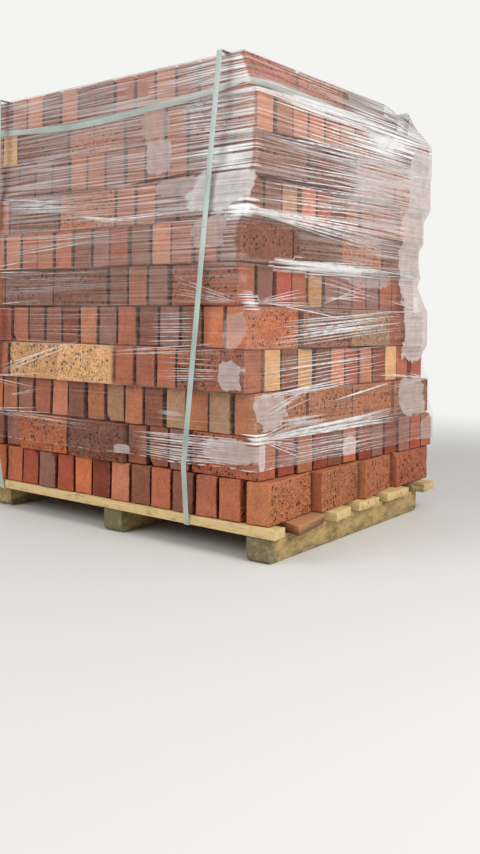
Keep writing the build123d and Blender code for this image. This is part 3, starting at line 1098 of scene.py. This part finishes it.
def stretch_film():
    """Polyethylene film, blown and stretched: a glossy milky veil, lined where it is drawn tight and
    plain where its layers cling, with painted glare in some patches."""
    material, add, shader = new_material("polyethylene_stretched")
    place = add("Attribute", out="Vector", attribute_name="on_film")
    milk = add("Attribute", out="Fac", attribute_name="milk")
    # patches where layers cling, and painted glare in the whitest of them
    cling_and_glare = add("Attribute", out="Vector", attribute_name="cling_and_glare")
    inside, milk_of_cling_and_glare, white_of_cling_and_glare = add("SeparateXYZ", (cling_and_glare,)).node.outputs
    # drawn lines 3 to 6 mm wide and a hand to an arm long, nearly level, in two slightly crossed sets
    lines = []
    for slant, width, length in ((0.03, 0.0075, 0.45), (-0.06, 0.0050, 0.3)):
        scale = (1 / length, 1 / width, 1.0)
        drawn = add("Mapping", {"Vector": place, "Rotation": (0.0, 0.0, slant), "Scale": scale})
        lines.append(add("TexNoise", {"Vector": drawn, "Scale": 1.0, "Detail": 1.5}))
    strongest = add("Math", lines, operation="MAXIMUM")
    thread = add("MapRange", (strongest, 0.44, 0.68, 0.30, 1.7))
    lined = add("Math", (milk, thread), operation="MULTIPLY")
    # the edge of a patch is torn, and that of a glare runs out along the lines
    glare = add("MapRange", (white_of_cling_and_glare, 0.80, 0.90))
    torn = add("TexNoise", {"Vector": place, "Scale": 38.0, "Detail": 3.0})
    torn_by = add("Math", (torn, 0.6, -0.3), operation="MULTIPLY_ADD")
    streaked_by = add("Math", (strongest, 3.4, -1.9), operation="MULTIPLY_ADD")
    moved_by = add("Mix", {0: glare, 2: torn_by, 3: streaked_by}, data_type="FLOAT")
    edge = add("Math", (inside, moved_by), operation="ADD")
    softness = add("MapRange", (glare, 0.0, 1.0, 0.12, 0.75))
    patch = add("MapRange", (edge, 0.0, softness), interpolation_type="SMOOTHSTEP")
    thread_in_patch = add("MapRange", (thread, 0.30, 1.7, 0.90, 1.15))
    cloudy = add("MapRange", (torn, 0.35, 0.65, 0.88, 1.10))
    patch_thread = add("Math", (thread_in_patch, cloudy), operation="MULTIPLY")
    patch_milk = add("Math", (milk_of_cling_and_glare, patch_thread), operation="MULTIPLY", use_clamp=True)
    alpha = add("Mix", {0: patch, 2: lined, 3: patch_milk}, data_type="FLOAT")
    # the veil greys what is behind it, its thin parts grey-pink, partly the film's own tint and partly
    # painted shade; and where it clings the clay shines through
    veil_white = add("MapRange", (alpha, 0.0, 1.0, 0.15, 1.0))
    thin_and_shaded_tint, thick = colour("#c4a899"), colour("#f3f3f4")
    veil_tint = add("Mix", {0: veil_white, 6: thin_and_shaded_tint, 7: thick}, out=2, data_type="RGBA")
    # a patch's tint runs from warm to white, and the whitest patches are painted glare
    warm, white = colour("#cba592"), colour("#ececed")
    patch_tint = add("Mix", {0: white_of_cling_and_glare, 6: warm, 7: white}, out=2, data_type="RGBA")
    tint = add("Mix", {0: patch, 6: veil_tint, 7: patch_tint}, out=2, data_type="RGBA")
    relief = add("Math", lines, operation="ADD")
    bump = add("Bump", {"Strength": 0.7, "Distance": 0.002, "Height": relief})
    feed(shader, {"Base Color": tint, "Roughness": 0.25, "Alpha": alpha, "Normal": bump})
    return material


def creased_film():
    """Stretch film drawn into tight creases, white and glossy, the white partly a painted highlight,
    with painted shade for the dark backs of some folds.
    """
    material, add, shader = new_material("polyethylene_drawn_white_highlit_and_shaded")
    crease = add("Attribute", out="Vector", attribute_name="crease")
    strength, run, height = add("SeparateXYZ", (crease,)).node.outputs
    # a crease comes and goes along its length, every 40 mm or so
    place = add("CombineXYZ", (run, height))
    stretched = add("Mapping", {"Vector": place, "Scale": (26.0, 240.0, 1.0)})
    comes = add("TexNoise", {"Vector": stretched, "Scale": 1.0, "Detail": 3.0})
    broken = add("MapRange", (comes, 0.34, 0.54, 0.45, 1.0))
    amount = add("Math", (strength,), operation="ABSOLUTE")
    alpha = add("Math", (amount, broken), operation="MULTIPLY")
    # the dark creases are painted shade, and the white ones are partly a painted highlight
    bright = add("Math", (strength, 0.0), operation="GREATER_THAN")
    back, front = colour("#4a403d"), colour("#ecebeb")
    tint = add("Mix", {0: bright, 6: back, 7: front}, out=2, data_type="RGBA")
    feed(shader, {"Base Color": tint, "Roughness": 0.35, "Alpha": alpha})
    return material


# Stage


def set_camera():
    data = bpy.data.cameras.new("camera")
    data.sensor_fit = "VERTICAL"
    data.sensor_height = 36
    data.lens = camera_lens
    data.shift_x, data.shift_y = camera_shift
    camera = bpy.data.objects.new("camera", data)
    bpy.context.collection.objects.link(camera)
    heading = Matrix.Rotation(math.radians(camera_heading), 4, "Z")
    dip = Matrix.Rotation(math.radians(90 - camera_dip), 4, "X")
    roll = Matrix.Rotation(math.radians(camera_roll), 4, "Z")
    camera.matrix_world = Matrix.Translation(camera_place) @ heading @ dip @ roll
    bpy.context.scene.camera = camera


def set_lamp(name, place, target, size, watts, tint):
    data = bpy.data.lights.new(name, "AREA")
    data.shape = "RECTANGLE"
    data.size, data.size_y = size
    data.energy = watts
    data.color = tint
    lamp = bpy.data.objects.new(name, data)
    bpy.context.collection.objects.link(lamp)
    way = Vector(target) - Vector(place)
    lamp.matrix_world = Matrix.Translation(place) @ way.to_track_quat("-Z", "Y").to_matrix().to_4x4()


def set_light():
    """A pale sky all round, a broad lamp off to the right and a weaker one in front."""
    world = bpy.data.worlds.new("studio")
    world.use_nodes = True
    tree = world.node_tree
    add = partial(add_node, tree)
    path = add("LightPath").node.outputs
    seen = add("Math", (path["Is Camera Ray"], path["Is Transmission Ray"]), operation="MAXIMUM")
    strength = add("MapRange", (seen, 0.0, 1.0, sky_strength, 1.0))
    feed(tree.nodes["Background"], {"Color": backdrop_colour, "Strength": strength})
    bpy.context.scene.world = world
    set_lamp(
        "right_softbox", place=(3.4, -0.9, 2.6), target=(0.2, 0.0, 0.6), size=(2.2, 2.2), watts=108,
        tint=(1.0, 0.985, 0.96),
    )
    set_lamp(
        "front_softbox", place=(-1.4, -3.6, 2.2), target=(0.0, 0.0, 0.5), size=(2.4, 1.6), watts=60,
        tint=(0.96, 0.98, 1.0),
    )


def lay_floor():
    """A plain pale floor that turns into the backdrop a few metres away."""
    deselect_all()
    bpy.ops.mesh.primitive_plane_add(size=60)
    floor = bpy.context.object
    floor.name = "studio_floor"
    material, add, shader = new_material("pale_floor")
    feed(shader, {"Base Color": colour("#dedddb"), "Roughness": 0.9})
    place = add("TexCoord", out="Object")
    away = add("VectorMath", (place,), out="Value", operation="LENGTH")
    far = add("MapRange", (away, *floor_fade), interpolation_type="SMOOTHSTEP")
    seen = add("LightPath", out="Is Camera Ray")
    share = add("Math", (far, seen), operation="MULTIPLY")
    backdrop = add("Emission", {"Color": backdrop_colour})
    blend = add("MixShader", (share, shader.outputs[0], backdrop))
    feed(material.node_tree.nodes["Material Output"], {"Surface": blend})
    floor.data.materials.append(material)
    floor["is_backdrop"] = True


def write_sizes():
    boxes = {"cad": cad_box, "visual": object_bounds()}
    plain = {name: [[float(value) for value in corner] for corner in box] for name, box in boxes.items()}


wrapped_boxes = [node_box(f"brick_course_{number:02d}") for number in range(2, course_count + 1)]
wrapped_middles = [(low.z + high.z) / 2 for low, high in wrapped_boxes]
film_top = wrapped_boxes[-1][1].z + film_gap
film_sides = side_runs()
brick_clay = fired_clay()
brick_shapes = [brick_shape(seed) for seed in range(1, shape_count + 1)]
inner_brick = plain_brick()
for course_number in range(1, course_count + 1):
    lay_course(course_number, brick_shapes, inner_brick, brick_clay)
for shape in brick_shapes + [inner_brick]:
    bpy.data.objects.remove(shape)

softwood = sawn_softwood()
for board_index in range(1, 7):
    saw_board(board_index, softwood)
for seed, side in enumerate(("left", "middle", "right"), start=1):
    saw_bearer(side, seed, softwood)

polypropylene = strap_plastic()
lay_strap("strap_around_top", "level_strap", polypropylene, settle_level_strap)
lay_strap("strap_near_corner", "near_corner_strap", polypropylene)
lay_strap("strap_far_side", "far_side_strap", polypropylene)
film, film_flat = wrap_film(stretch_film())
creases = draw_creases(creased_film())

lay_floor()
set_light()
set_camera()
bpy.context.scene.view_settings.view_transform = "Standard"
write_sizes()
